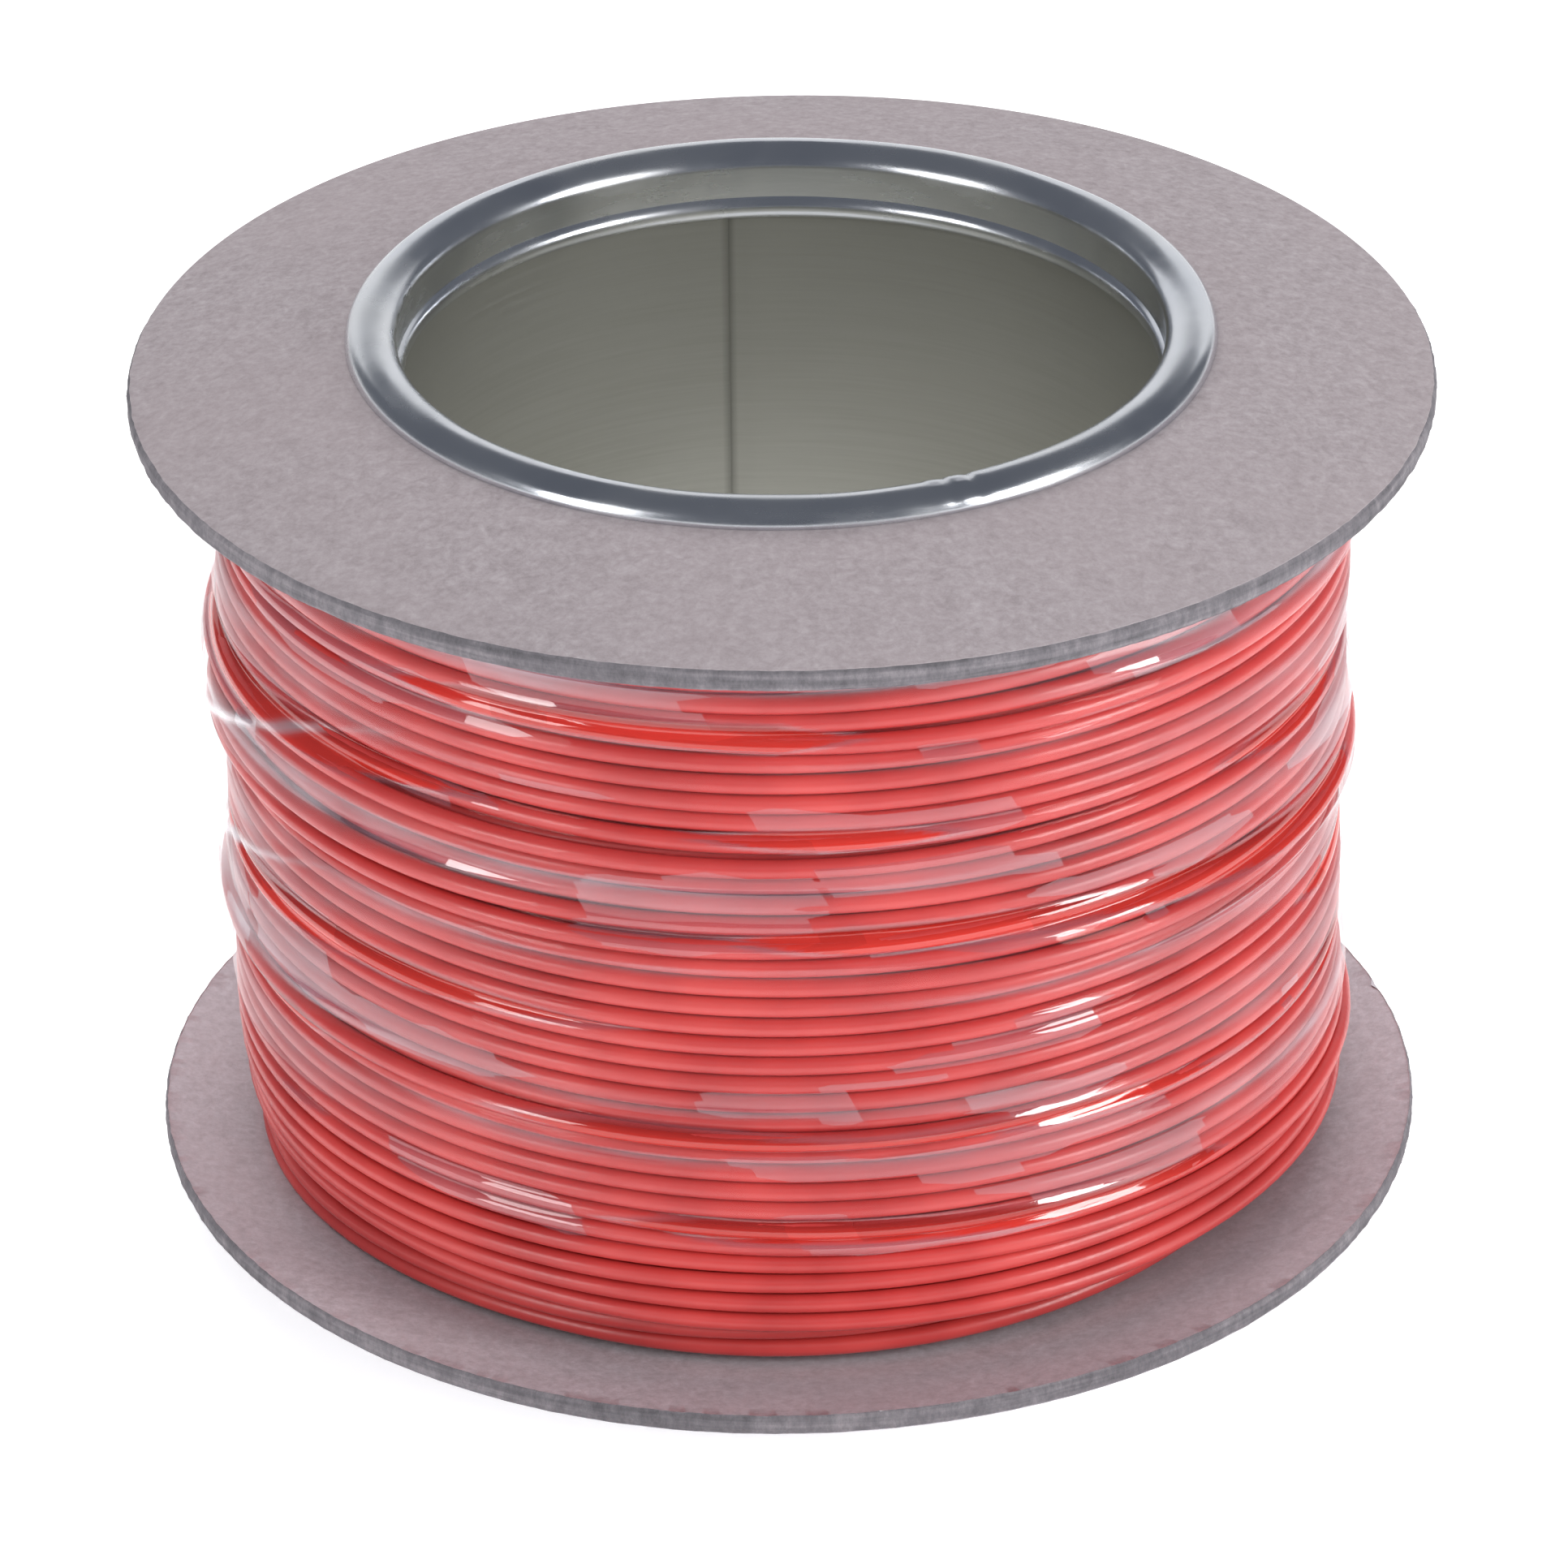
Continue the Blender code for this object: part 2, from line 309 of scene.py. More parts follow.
def board_edge_material():
    """The cut edge: darker, cooler, with the plies showing as uneven lines."""
    m = new_material("board_cut_edge", (0.21, 0.22, 0.235), 0.95)
    plies = m.noise(m.coords((30.0, 30.0, 900.0)), 1.0, 4.0, 0.6)
    fray = m.noise(m.coords((1.0, 1.0, 0.5)), 520.0, 5.0, 0.8)
    both = m.math("ADD", m.math("MULTIPLY", plies, 0.5), m.math("MULTIPLY", fray, 0.5))
    colour = m.ramp(both, [(0.36, (0.095, 0.090, 0.098)), (0.5, (0.170, 0.158, 0.172)),
                           (0.66, (0.30, 0.275, 0.29))])
    m.link(colour, m.shader.inputs["Base Color"])
    m.bump(both, 0.8, 0.25 * MM)
    return m.material


def rim_material():
    """Bright side of the sheet, drawn and handled: fine lines, and smears that dull it."""
    m = new_material("bright_tinplate", (0.76, 0.77, 0.80), 0.20, 1.0)
    drawn = m.noise(m.coords((1.0, 1.0, 6.0)), 90.0, 4.0, 0.6)
    smear = m.noise(m.coords(), 30.0, 3.0, 0.5, 0.8)
    rough = m.math("ADD", m.remap(drawn, 0.3, 0.7, 0.13, 0.24), m.remap(smear, 0.4, 0.7, 0.0, 0.14))
    m.link(rough, m.shader.inputs["Roughness"])
    tone = m.ramp(smear, [(0.3, (0.62, 0.645, 0.70)), (0.7, (0.82, 0.83, 0.84))])
    m.link(tone, m.shader.inputs["Base Color"])
    m.bump(drawn, 0.22, 0.1 * MM)
    return m.material


def hub_material():
    """Dull side of the sheet, with its grain round the tube, a dark seam, and painted shade that darkens
    it more the higher up it is.
    """
    m = new_material("satin_tinplate", (0.64, 0.63, 0.57), 0.42, 0.6)
    around, height = cylinder_coords(m)
    combine = m.add("ShaderNodeCombineXYZ")
    m.link(m.math("MULTIPLY", around, 26.0), combine.inputs[0])
    m.link(m.math("MULTIPLY", height, 1500.0), combine.inputs[1])
    grain = m.noise(combine.outputs[0], 1.0, 4.0, 0.65)
    stain = m.noise(m.coords((1.0, 1.0, 0.6)), 22.0, 4.0, 0.55)
    tone = m.ramp(grain, [(0.3, (0.70, 0.695, 0.64)), (0.55, (0.77, 0.765, 0.71)),
                          (0.75, (0.83, 0.825, 0.77))])
    toned = m.mix(m.remap(stain, 0.4, 0.7, 0.0, 0.4), tone, (0.78, 0.76, 0.70))
    # painted shade: the tube's colour is darkened towards its upper end, as if less light reached it
    # there
    painted_shade_by_height = m.remap(height, 0.48 * TOTAL_HEIGHT, 0.95 * TOTAL_HEIGHT, 0.0, 0.85)
    toned = m.mix(painted_shade_by_height, toned, (0.17, 0.17, 0.145))
    seam = m.math("ABSOLUTE", m.math("SUBTRACT", around, UNROLL_RADIUS * TUBE_SEAM_AZIMUTH))
    toned = m.mix(m.remap(seam, 0.1 * MM, 1.6 * MM, 0.45, 0.0), toned, (0.10, 0.10, 0.085))
    m.link(toned, m.shader.inputs["Base Color"])
    m.link(m.remap(grain, 0.3, 0.7, 0.36, 0.50), m.shader.inputs["Roughness"])
    m.bump(grain, 0.10, 0.05 * MM)
    return m.material


def wire_material():
    """Extruded PVC: a soft bloom on the surface, with faint drift along the wire."""
    m = new_material("red_pvc", (0.60, 0.050, 0.046), 0.42)
    drift = m.noise(m.coords(), 60.0, 3.0, 0.5)
    speck = m.noise(m.coords(), 1400.0, 2.0, 0.5)
    colour = m.ramp(drift, [(0.3, (0.47, 0.034, 0.032)), (0.5, (0.56, 0.046, 0.043)),
                            (0.7, (0.64, 0.062, 0.056))])
    m.link(colour, m.shader.inputs["Base Color"])
    m.link(m.remap(speck, 0.3, 0.7, 0.36, 0.50), m.shader.inputs["Roughness"])
    m.set("Coat Weight", 0.25)
    m.set("Coat Roughness", 0.18)
    m.bump(speck, 0.06, 0.03 * MM)
    return m.material


VEIL_COLOUR = (0.42, 0.29, 0.36)        # film that stands off the wire
WET_COLOUR = (0.66, 0.034, 0.022)       # film pressed on to the wire
BRIM_COLOUR = (0.26, 0.008, 0.006)      # shadow along the upper side of a wet streak
FOLD_COLOUR = (0.88, 0.82, 0.86)
BARE_ALPHA = 0.02                       # least cover of the film
VEIL_ALPHA = 0.38                       # added where it stands 1 mm off
PATCH_ALPHA = 0.17                      # added where one more layer overlaps
PATCH_SHARE = 0.20                      # of the surface, with such a layer
EDGE_ALPHA = 0.20                       # added where it is seen edge-on
WET_ALPHA = 0.74
FOLD_ALPHA = 0.45
VEIL_BY_SIDE = (0.85, 1.35)             # factors in front and behind, and at the two sides


def film_material():
    """Clear film in a few layers. It clings and darkens the wire where it is pressed on, and is
    a little milky where it stands off, with sharp-edged patches where more layers overlap."""
    m = new_material("clear_film", (0.46, 0.33, 0.38), 0.10)
    around, height = cylinder_coords(m)
    slanted = m.math("ADD", around, m.math("MULTIPLY", height, 0.5))
    combine = m.add("ShaderNodeCombineXYZ")
    m.link(m.math("MULTIPLY", slanted, 38.0), combine.inputs[0])
    m.link(m.math("MULTIPLY", height, 215.0), combine.inputs[1])
    cells = m.add("ShaderNodeTexVoronoi", feature="F1", distance="CHEBYCHEV")
    cells.inputs["Scale"].default_value = 1.0
    cells.inputs["Randomness"].default_value = 0.9
    m.link(combine.outputs[0], cells.inputs["Vector"])
    split = m.add("ShaderNodeSeparateColor")
    m.link(cells.outputs["Color"], split.inputs[0])
    patch = m.math("GREATER_THAN", split.outputs[0], 1.0 - PATCH_SHARE)
    streak = m.noise(combine.outputs[0], 1.3, 3.0, 0.55)
    lift, wet, brim, fold = (m.add("ShaderNodeAttribute", attribute_name=name).outputs["Fac"]
                             for name in ("lift", "wet", "brim", "fold"))
    colour = m.mix(wet, VEIL_COLOUR, WET_COLOUR)
    colour = m.mix(m.math("MULTIPLY", brim, 0.85), colour, BRIM_COLOUR)
    colour = m.mix(m.math("MULTIPLY", fold, 0.8), colour, FOLD_COLOUR)
    m.link(colour, m.shader.inputs["Base Color"])
    m.link(m.math("SUBTRACT", 1.0, m.math("MULTIPLY", wet, 0.85)), m.shader.inputs["Coat Weight"])
    haze = m.remap(lift, 0.0, 1.0, 0.0, VEIL_ALPHA)
    haze = m.math("MULTIPLY", haze, m.remap(streak, 0.3, 0.7, 0.4, 1.3))
    haze = m.math("ADD", haze, m.math("MULTIPLY", patch, PATCH_ALPHA))
    twice = m.math("COSINE", m.math("MULTIPLY", around, 2.0 / UNROLL_RADIUS))
    haze = m.math("MULTIPLY", haze, m.remap(twice, -1.0, 1.0, *VEIL_BY_SIDE))
    layer = m.add("ShaderNodeLayerWeight")
    layer.inputs["Blend"].default_value = 0.35
    edge = m.math("MULTIPLY", m.math("POWER", layer.outputs["Facing"], 2.5), EDGE_ALPHA)
    dry = m.math("ADD", m.math("ADD", haze, BARE_ALPHA), edge, clamp=True)
    covered = m.math("ADD", m.math("MULTIPLY", wet, WET_ALPHA), m.math("MULTIPLY", fold, FOLD_ALPHA))
    alpha = m.math("ADD", dry, covered, clamp=True)
    m.link(alpha, m.shader.inputs["Alpha"])
    m.set("IOR", 1.5)
    m.set("Coat Roughness", 0.03)
    m.set("Coat IOR", 3.6)
    return m.material


def copper_material():
    m = new_material("bare_copper", (0.83, 0.42, 0.25), 0.25, 1.0)
    drift = m.noise(m.coords(), 900.0, 3.0, 0.5)
    tone = m.ramp(drift, [(0.3, (0.66, 0.30, 0.17)), (0.7, (0.90, 0.50, 0.32))])
    m.link(tone, m.shader.inputs["Base Color"])
    return m.material


# ---- mesh helpers ----
def mesh_object(name, vertices, faces, materials, body="root"):
    mesh = bpy.data.meshes.new(name)
    mesh.from_pydata(vertices, [], faces)
    for material in materials:
        mesh.materials.append(material)
    mesh.update()
    obj = bpy.data.objects.new(name, mesh)
    bpy.context.scene.collection.objects.link(obj)
    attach(obj, body)
    return obj


def lathe_faces(rings, around):
    """Quads of a closed lathe: rings is the number of points on a closed profile."""
    a = np.arange(around)
    p = np.arange(rings)
    aa, pp = np.meshgrid(a, p, indexing="ij")
    nxt_a, nxt_p = (aa + 1) % around, (pp + 1) % rings
    quads = np.stack([aa * rings + pp, aa * rings + nxt_p, nxt_a * rings + nxt_p, nxt_a * rings + pp], -1)
    return quads.reshape(-1, 4)


def upside_down(points):
    """Turn points of the lower end over to make the upper end."""
    flipped = points.copy()
    flipped[:, 1] *= -1
    flipped[:, 2] = TOTAL_HEIGHT - flipped[:, 2]
    return flipped


# ---- the wound wire ----
STEPS = 120                          # points on one turn
BIN = 0.2 * MM                       # height step of the table of what is wound so far
PASSES = 9                           # of the traverse, from one board to the other
LOOSE_PASSES = 3                     # of these, the outer ones, which show
LAYER_RISE = 2.5 * MM                # how much a full pass adds to the radius
OUTER_DENSITY = 0.90                 # least share of a full pass that an outer pass lays
LOOK_AROUND = 2.4 * MM               # height over which the room left is judged
SWAY = 1.15 * MM
SETTLE = 0.035 * MM                  # how fast a turn slips down into a groove
BUNDLE = (4, 9)                      # turns that sway together, from 4 to 8
INNER_SWAY = 0.25 * MM               # sway of the passes that don't show
BOARD_CLEARANCE = 0.1 * MM           # between the outermost turn and the board
END_MIDDLE = (END_LOW.z + END_HIGH.z) / 2
LEDGE_HEIGHT = END_HIGH.z + GAP
BED_RADIUS = 66.2 * MM               # the turns that the wire's end lies on
END_RADIUS = BED_RADIUS + GAP + WIRE_DIAMETER / 2
END_START_AZIMUTH = math.radians(60.0)
END_TIP_AZIMUTH = math.radians(122.0)
BORE_DEPTH = 3.0 * MM                # how far the cut end shows the inside of the insulation
BORE_CLEARANCE = 0.1 * MM            # between the conductor and the insulation
CONDUCTOR_DIAMETER = 1.1 * MM
CONDUCTOR_STUB = 1.2 * MM            # how far the bared strands stand out of it
STRAND_RINGS = ((0, 1), (1, 6), (2, 12))    # how far out in strands, and how many
STRAND_TWIST = 0.22                  # of a turn, over the length that shows


def winding_target(height):
    """How far out the middle of the outermost wire may lie at this height."""
    if height < LEDGE_HEIGHT:
        return BED_RADIUS - WIRE_DIAMETER / 2
    return winding_radius(height) - WIRE_DIAMETER / 2


def bell(sigma):
    """Weights of a smoothing window, six steps to either side."""
    weights = np.exp(-0.5 * (np.arange(-6, 7) / sigma) ** 2)
    return weights / weights.sum()


def bundle_sway(rng, angles, size):
    """A slow wander in height, once to three times round the spool."""
    phases = rng.uniform(0.0, TAU, 3)
    return size * (np.sin(angles + phases[0]) + 0.6 * np.sin(2 * angles + phases[1])
                   + 0.35 * np.sin(3 * angles + phases[2]))


def wind_wire(seed=11):
    """Wind the wire as a traverse lays it. It settles into the grooves of the turns below.

    It starts at the upper board and ends at the lower one. Each pass spaces its turns by the
    room left under the winding's outline, and full passes are kept for the outside. There the
    traverse lays bundles of a few turns, each with its own slow sway, so that the bundles
    part, meet and ride over each other. The last pass stops short of the wire's free end.

    Returns the height and the radius of every point of every turn, two tables over azimuth and
    height, of where the middle of one more turn would come to lie and of how far out the
    surface reaches, and the turns that start a pass.
    """
    rng = np.random.default_rng(seed)
    heights = np.arange(0.0, TOTAL_HEIGHT, BIN)
    last_bin = len(heights) - 1
    seat = np.full((STEPS, len(heights)), WINDING_INNER_RADIUS + WIRE_DIAMETER / 2)
    surface = np.full((STEPS, len(heights)), WINDING_INNER_RADIUS)
    target = np.array([winding_target(z) for z in heights])
    reach = int(WIRE_DIAMETER / BIN)
    span = int(LOOK_AROUND / BIN)
    blur = bell(2.8)
    angles = TAU * np.arange(STEPS) / STEPS
    z = guide = TOTAL_HEIGHT - BOARD_INNER - WIRE_DIAMETER / 2 - BOARD_CLEARANCE
    way, left = -1, 0
    sway = np.zeros(STEPS)
    turns_z, turns_r, starts = [], [], [0]
    while True:
        mean_seat = seat.mean(0)
        middle = min(max(int(guide / BIN), span), last_bin - span)
        near = slice(middle - span, middle + span + 1)
        to_go = PASSES - len(starts) + 1
        room = (target[near] - mean_seat[near]).mean() + LAYER_RISE
        kept = min(to_go - 1, LOOSE_PASSES)                 # room kept for the outer passes
        share = (room - kept * LAYER_RISE) / ((to_go - kept) * LAYER_RISE)
        loose = to_go <= LOOSE_PASSES
        density = min(max(share, OUTER_DENSITY if loose else 0.3), 1.0)
        here = mean_seat[min(last_bin, int(z / BIN))]
        lowest = BOARD_INNER + dish_drop(here + WIRE_DIAMETER / 2) + WIRE_DIAMETER / 2 + BOARD_CLEARANCE
        highest = TOTAL_HEIGHT - lowest
        if to_go == 1:
            lowest = LEDGE_HEIGHT + WIRE_DIAMETER / 2
        if left == 0:
            left = rng.integers(*BUNDLE)
            sway = bundle_sway(rng, angles, SWAY * rng.uniform(0.3, 1.0) if loose else INNER_SWAY)
            slack = rng.uniform(1.0, 1.06)
        left -= 1
        turn_z = np.empty(STEPS)
        turned = False
        for i in range(STEPS):
            guide += way * WIRE_DIAMETER * slack / density / STEPS
            if (guide > highest and way > 0) or (guide < lowest and way < 0):
                guide = min(max(guide, lowest), highest)
                turned = True
            j = min(max(int(z / BIN), 3), last_bin - 3)
            slope = (seat[i, j + 3] - seat[i, j - 3]) / (6 * BIN)
            z += (guide + sway[i] - z) * 0.06 - SETTLE * min(max(slope, -1.2), 1.2)
            z = min(max(z, lowest), highest)
            turn_z[i] = z
        if turned and to_go == 1:
            break                        # from here on the wire is its free end
        bins = np.clip((turn_z / BIN).astype(int), 0, last_bin)
        need = seat[np.arange(STEPS), bins]
        lifted = np.maximum.reduce([np.roll(need, k) for k in range(-2, 3)])
        turn_r = np.convolve(np.concatenate([lifted[-6:], lifted, lifted[:6]]), blur, "same")[6:-6]
        if turns_r:
            ease = np.linspace(0.0, 1.0, 14)
            turn_r[:14] = turns_r[-1][-1] * (1 - ease) + turn_r[:14] * ease
        for i in range(STEPS):
            first, end = max(0, bins[i] - reach), min(len(heights), bins[i] + reach + 1)
            off = heights[first:end] - turn_z[i]
            over = np.sqrt(np.clip(WIRE_DIAMETER ** 2 - off ** 2, 0.0, None))
            old = seat[i, first:end]
            seat[i, first:end] = np.maximum(old, np.where(over > 0, turn_r[i] + over, 0.0))
            skin = np.sqrt(np.clip((WIRE_DIAMETER / 2) ** 2 - off ** 2, 0.0, None))
            old = surface[i, first:end]
            surface[i, first:end] = np.maximum(old, np.where(skin > 0, turn_r[i] + skin, 0.0))
        turns_z.append(turn_z)
        turns_r.append(turn_r)
        if turned:
            way = -way
            starts.append(len(turns_z))
    return np.array(turns_z), np.array(turns_r), seat, surface, starts


def tube_mesh(name, centres, radials, sides, material, radius=WIRE_DIAMETER / 2, bore=0.0):
    """A round tube along centres, closed at both ends. radials point across it, away from the
    spool's axis. With bore, the far end shows a hole of that radius."""
    count = len(centres)
    along = np.gradient(centres, axis=0)
    along /= np.linalg.norm(along, axis=1)[:, None]
    radials = radials - along * (radials * along).sum(1)[:, None]
    radials /= np.linalg.norm(radials, axis=1)[:, None]
    ups = np.cross(along, radials)
    angles = TAU * np.arange(sides) / sides

    def rings_at(places, across, up, size):
        return (places[:, None] + size * (np.cos(angles)[None, :, None] * across[:, None]
                                          + np.sin(angles)[None, :, None] * up[:, None]))

    rings = [rings_at(centres, radials, ups, radius)]
    if bore:
        inside = np.stack([centres[-1], centres[-1] - along[-1] * BORE_DEPTH])
        rings.append(rings_at(inside, radials[[-1, -1]], ups[[-1, -1]], bore))
        count += 2
    vertices = np.concatenate(rings).reshape(-1, 3)
    i, side = np.meshgrid(np.arange(count - 1), np.arange(sides), indexing="ij")
    nxt = (side + 1) % sides
    quads = np.stack([i * sides + side, i * sides + nxt,
                      (i + 1) * sides + nxt, (i + 1) * sides + side], -1)
    faces = quads.reshape(-1, 4).tolist()
    faces.append(list(range(sides))[::-1])
    faces.append([(count - 1) * sides + k for k in range(sides)])
    obj = mesh_object(name, vertices.tolist(), faces, [material])
    obj.data.shade_smooth()
    obj.data.set_sharp_from_angle(angle=math.radians(50.0))
    return obj


def last_stretch(z, r, seat):
    """Heights and radii from the last wound point round to the wire's cut end. On its way down
    the wire rides over the turns below."""
    step = TAU / STEPS
    ease_steps = int(round(END_START_AZIMUTH / step))
    run_steps = int(round((END_TIP_AZIMUTH - END_START_AZIMUTH) / step))
    t = np.linspace(0.0, 1.0, ease_steps + 1)[1:]
    t = t * t * (3 - 2 * t)
    down = np.concatenate([z + (END_MIDDLE - z) * t, np.full(run_steps, END_MIDDLE)])
    across = np.concatenate([r + (END_RADIUS - r) * t, np.full(run_steps, END_RADIUS)])
    need = seat[np.arange(1, len(down) + 1), (down / BIN).astype(int)]
    lifted = np.maximum(across, need)
    padded = np.concatenate([np.full(6, r), lifted, np.full(6, END_RADIUS)])
    return down, np.convolve(padded, bell(2.0), "same")[6:-6]


def make_winding(material):
    turns_z, turns_r, seat, surface, starts = wind_wire()
    turns = len(turns_z)
    z, r = turns_z.ravel(), turns_r.ravel()
    end_z, end_r = last_stretch(z[-1], r[-1], seat)
    z, r = np.concatenate([z, end_z]), np.concatenate([r, end_r])
    angle = TAU * np.arange(len(z)) / STEPS
    radial = np.stack([np.cos(angle), np.sin(angle), np.zeros_like(angle)], 1)
    centres = radial * r[:, None]
    centres[:, 2] = z
    length = np.linalg.norm(np.diff(centres, axis=0), axis=1).sum()
    print(f"wire: {turns} turns, {len(starts)} passes, {length:.2f} m")
    cuts = [start * STEPS for start in starts] + [len(z) - 1]
    for k in range(PASSES):
        fine = k >= PASSES - LOOSE_PASSES
        stride, sides = (1, 12) if fine else (3, 6)
        picks = np.arange(cuts[k], cuts[k + 1] + 1, stride)
        if picks[-1] != cuts[k + 1]:
            picks = np.append(picks, cuts[k + 1])
        last = k == PASSES - 1
        bore = CONDUCTOR_DIAMETER / 2 + BORE_CLEARANCE if last else 0.0
        piece = tube_mesh(f"wire_pass_{k + 1:02d}", centres[picks], radial[picks], sides, material,
                          bore=bore)
        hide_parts(*(["wire_winding", "wire_outer_end"] if last else ["wire_winding"]))
    return surface, centres[-1], centres[-1] - centres[-2]


def make_strands(tip, outwards, material):
    """The bared conductor: a core strand, six round it and twelve outside, twisted together."""
    outwards = Vector(outwards).normalized()
    across = Vector((tip[0], tip[1], 0.0)).normalized()
    across = (across - outwards * across.dot(outwards)).normalized()
    up = outwards.cross(across)
    strand = CONDUCTOR_DIAMETER / 5
    vertices, faces = [], []
    sides, levels = 8, 9
    length = BORE_DEPTH - BORE_CLEARANCE + CONDUCTOR_STUB
    for ring, number in STRAND_RINGS:
        for k in range(number):
            base = len(vertices)
            for level in range(levels):
                t = level / (levels - 1)
                twist = TAU * (k / number + STRAND_TWIST * t)
                middle = Vector(tip) + outwards * (CONDUCTOR_STUB - length * (1 - t))
                offset = ring * strand * 0.97
                middle += (across * math.cos(twist) + up * math.sin(twist)) * offset
                for s in range(sides):
                    a = TAU * s / sides
                    spoke = across * math.cos(a) + up * math.sin(a)
                    vertices.append(middle + spoke * strand * 0.48)
            for level in range(levels - 1):
                low = base + level * sides
                for s in range(sides):
                    n = (s + 1) % sides
                    faces.append((low + s, low + n, low + sides + n, low + sides + s))
            faces.append([base + s for s in range(sides)][::-1])
            faces.append([base + (levels - 1) * sides + s for s in range(sides)])
    obj = mesh_object("wire_strands", vertices, faces, [material])
    obj.data.shade_smooth()
    obj.data.set_sharp_from_angle(angle=math.radians(50.0))
    return obj


# ---- the stretch film ----
def sample_rows(table, rows, columns):
    """table at fractional rows (wrapping) and columns."""
    count = table.shape[0]
    r0 = np.floor(rows).astype(int)
    c0 = np.clip(np.floor(columns).astype(int), 0, table.shape[1] - 2)
    fr, fc = (rows - r0)[:, None], (columns - c0)[None, :]
    a, b = table[r0 % count], table[(r0 + 1) % count]
    row_mix = a * (1 - fr) + b * fr
    return row_mix[:, c0] * (1 - fc) + row_mix[:, c0 + 1] * fc


def smooth(table, axis, sigma, wrap):
    half = int(math.ceil(3 * sigma))
    weights = np.exp(-0.5 * (np.arange(-half, half + 1) / sigma) ** 2)
    weights /= weights.sum()
    pad = [(0, 0), (0, 0)]
    pad[axis] = (half, half)
    padded = np.pad(table, pad, mode="wrap" if wrap else "edge")
    total = np.zeros_like(table)
    size = table.shape[axis]
    for k, weight in enumerate(weights):
        total += weight * np.take(padded, range(k, k + size), axis=axis)
    return total


FILM_AROUND, FILM_UP = 416, 240
PINCH_PITCH = 13.5 * MM               # height between the lines where the film is drawn tight
FILM_BULGE = 0.75 * MM                # how far it stands off between them
CREASE_RISE = 0.45 * MM               # height gained by a slanting crease in each degree
CREASE_WIDTHS = (1.2 * MM, 0.35 * MM)    # at its first and its second end
CREASES = (                           # azimuth of either end in degrees, height at the second
    (150.0, 231.0, 90.0 * MM),
    (155.0, 221.0, 66.8 * MM),
)
CREASE_RIDGE = 0.22 * MM
FILM_SINK = 0.30 * MM                 # how far taut film settles between the crests it spans
FILM_CLEARANCE = 0.05 * MM            # least distance from the wire
FILM_EDGE_EASE = 3 * MM               # over which it closes on the wire at its upper and lower edge
FILM_EDGE_WAVER = 0.8 * MM            # of the lower edge


def pinch_shape(angle, zs, rng):
    """0 on the lines where the film is drawn tight to the wire and 1 midway between them, how
    wet the contact is, in long lens-shaped streaks that come and go along each line, and 1 on
    the upper side of a line."""
    wobble = sum(size * np.sin(n * angle + rng.uniform(0.0, TAU))
                 for n, size in ((1, 2.6), (2, 1.3), (3, 0.8), (5, 0.35))) * MM
    along = (zs[None, :] - wobble[:, None]) / PINCH_PITCH
    line = np.round(along)
    away = np.abs(along - line) * 2
    shape = np.clip((away - 0.10) / 0.55, 0.0, 1.0)
    shape = shape * shape * (3 - 2 * shape)
    wet = np.zeros_like(shape)
    for k in np.unique(line):
        rise = sum(np.sin(n * angle + rng.uniform(0.0, TAU)) / n ** 0.3 for n in (2, 3, 5, 7))
        lens = np.clip(0.8 * rise + 0.35, 0.0, 1.0)[:, None]
        wet += (line == k) * np.clip((lens * 0.32 - away) / 0.10, 0.0, 1.0)
    brim = np.clip((along - line) / 0.10, 0.0, 1.0)
    return shape, wet, brim


def crease_lines(angle, zs):
    """How sharply the film is folded along its slanting creases, from 0 to 1."""
    folded = np.zeros((len(angle), len(zs)))
    azimuth = np.degrees(angle)
    for start, end, top in CREASES:
        height = top - CREASE_RISE * (end - azimuth)
        fade = np.clip((azimuth - start) / 20.0, 0.0, 1.0) * np.clip((end - azimuth) / 30.0, 0.0, 1.0)
        width = np.interp(azimuth, (start, end), CREASE_WIDTHS)
        off = (zs[None, :] - height[:, None]) / width[:, None]
        folded = np.maximum(folded, fade[:, None] * np.exp(-off ** 2))
    return folded


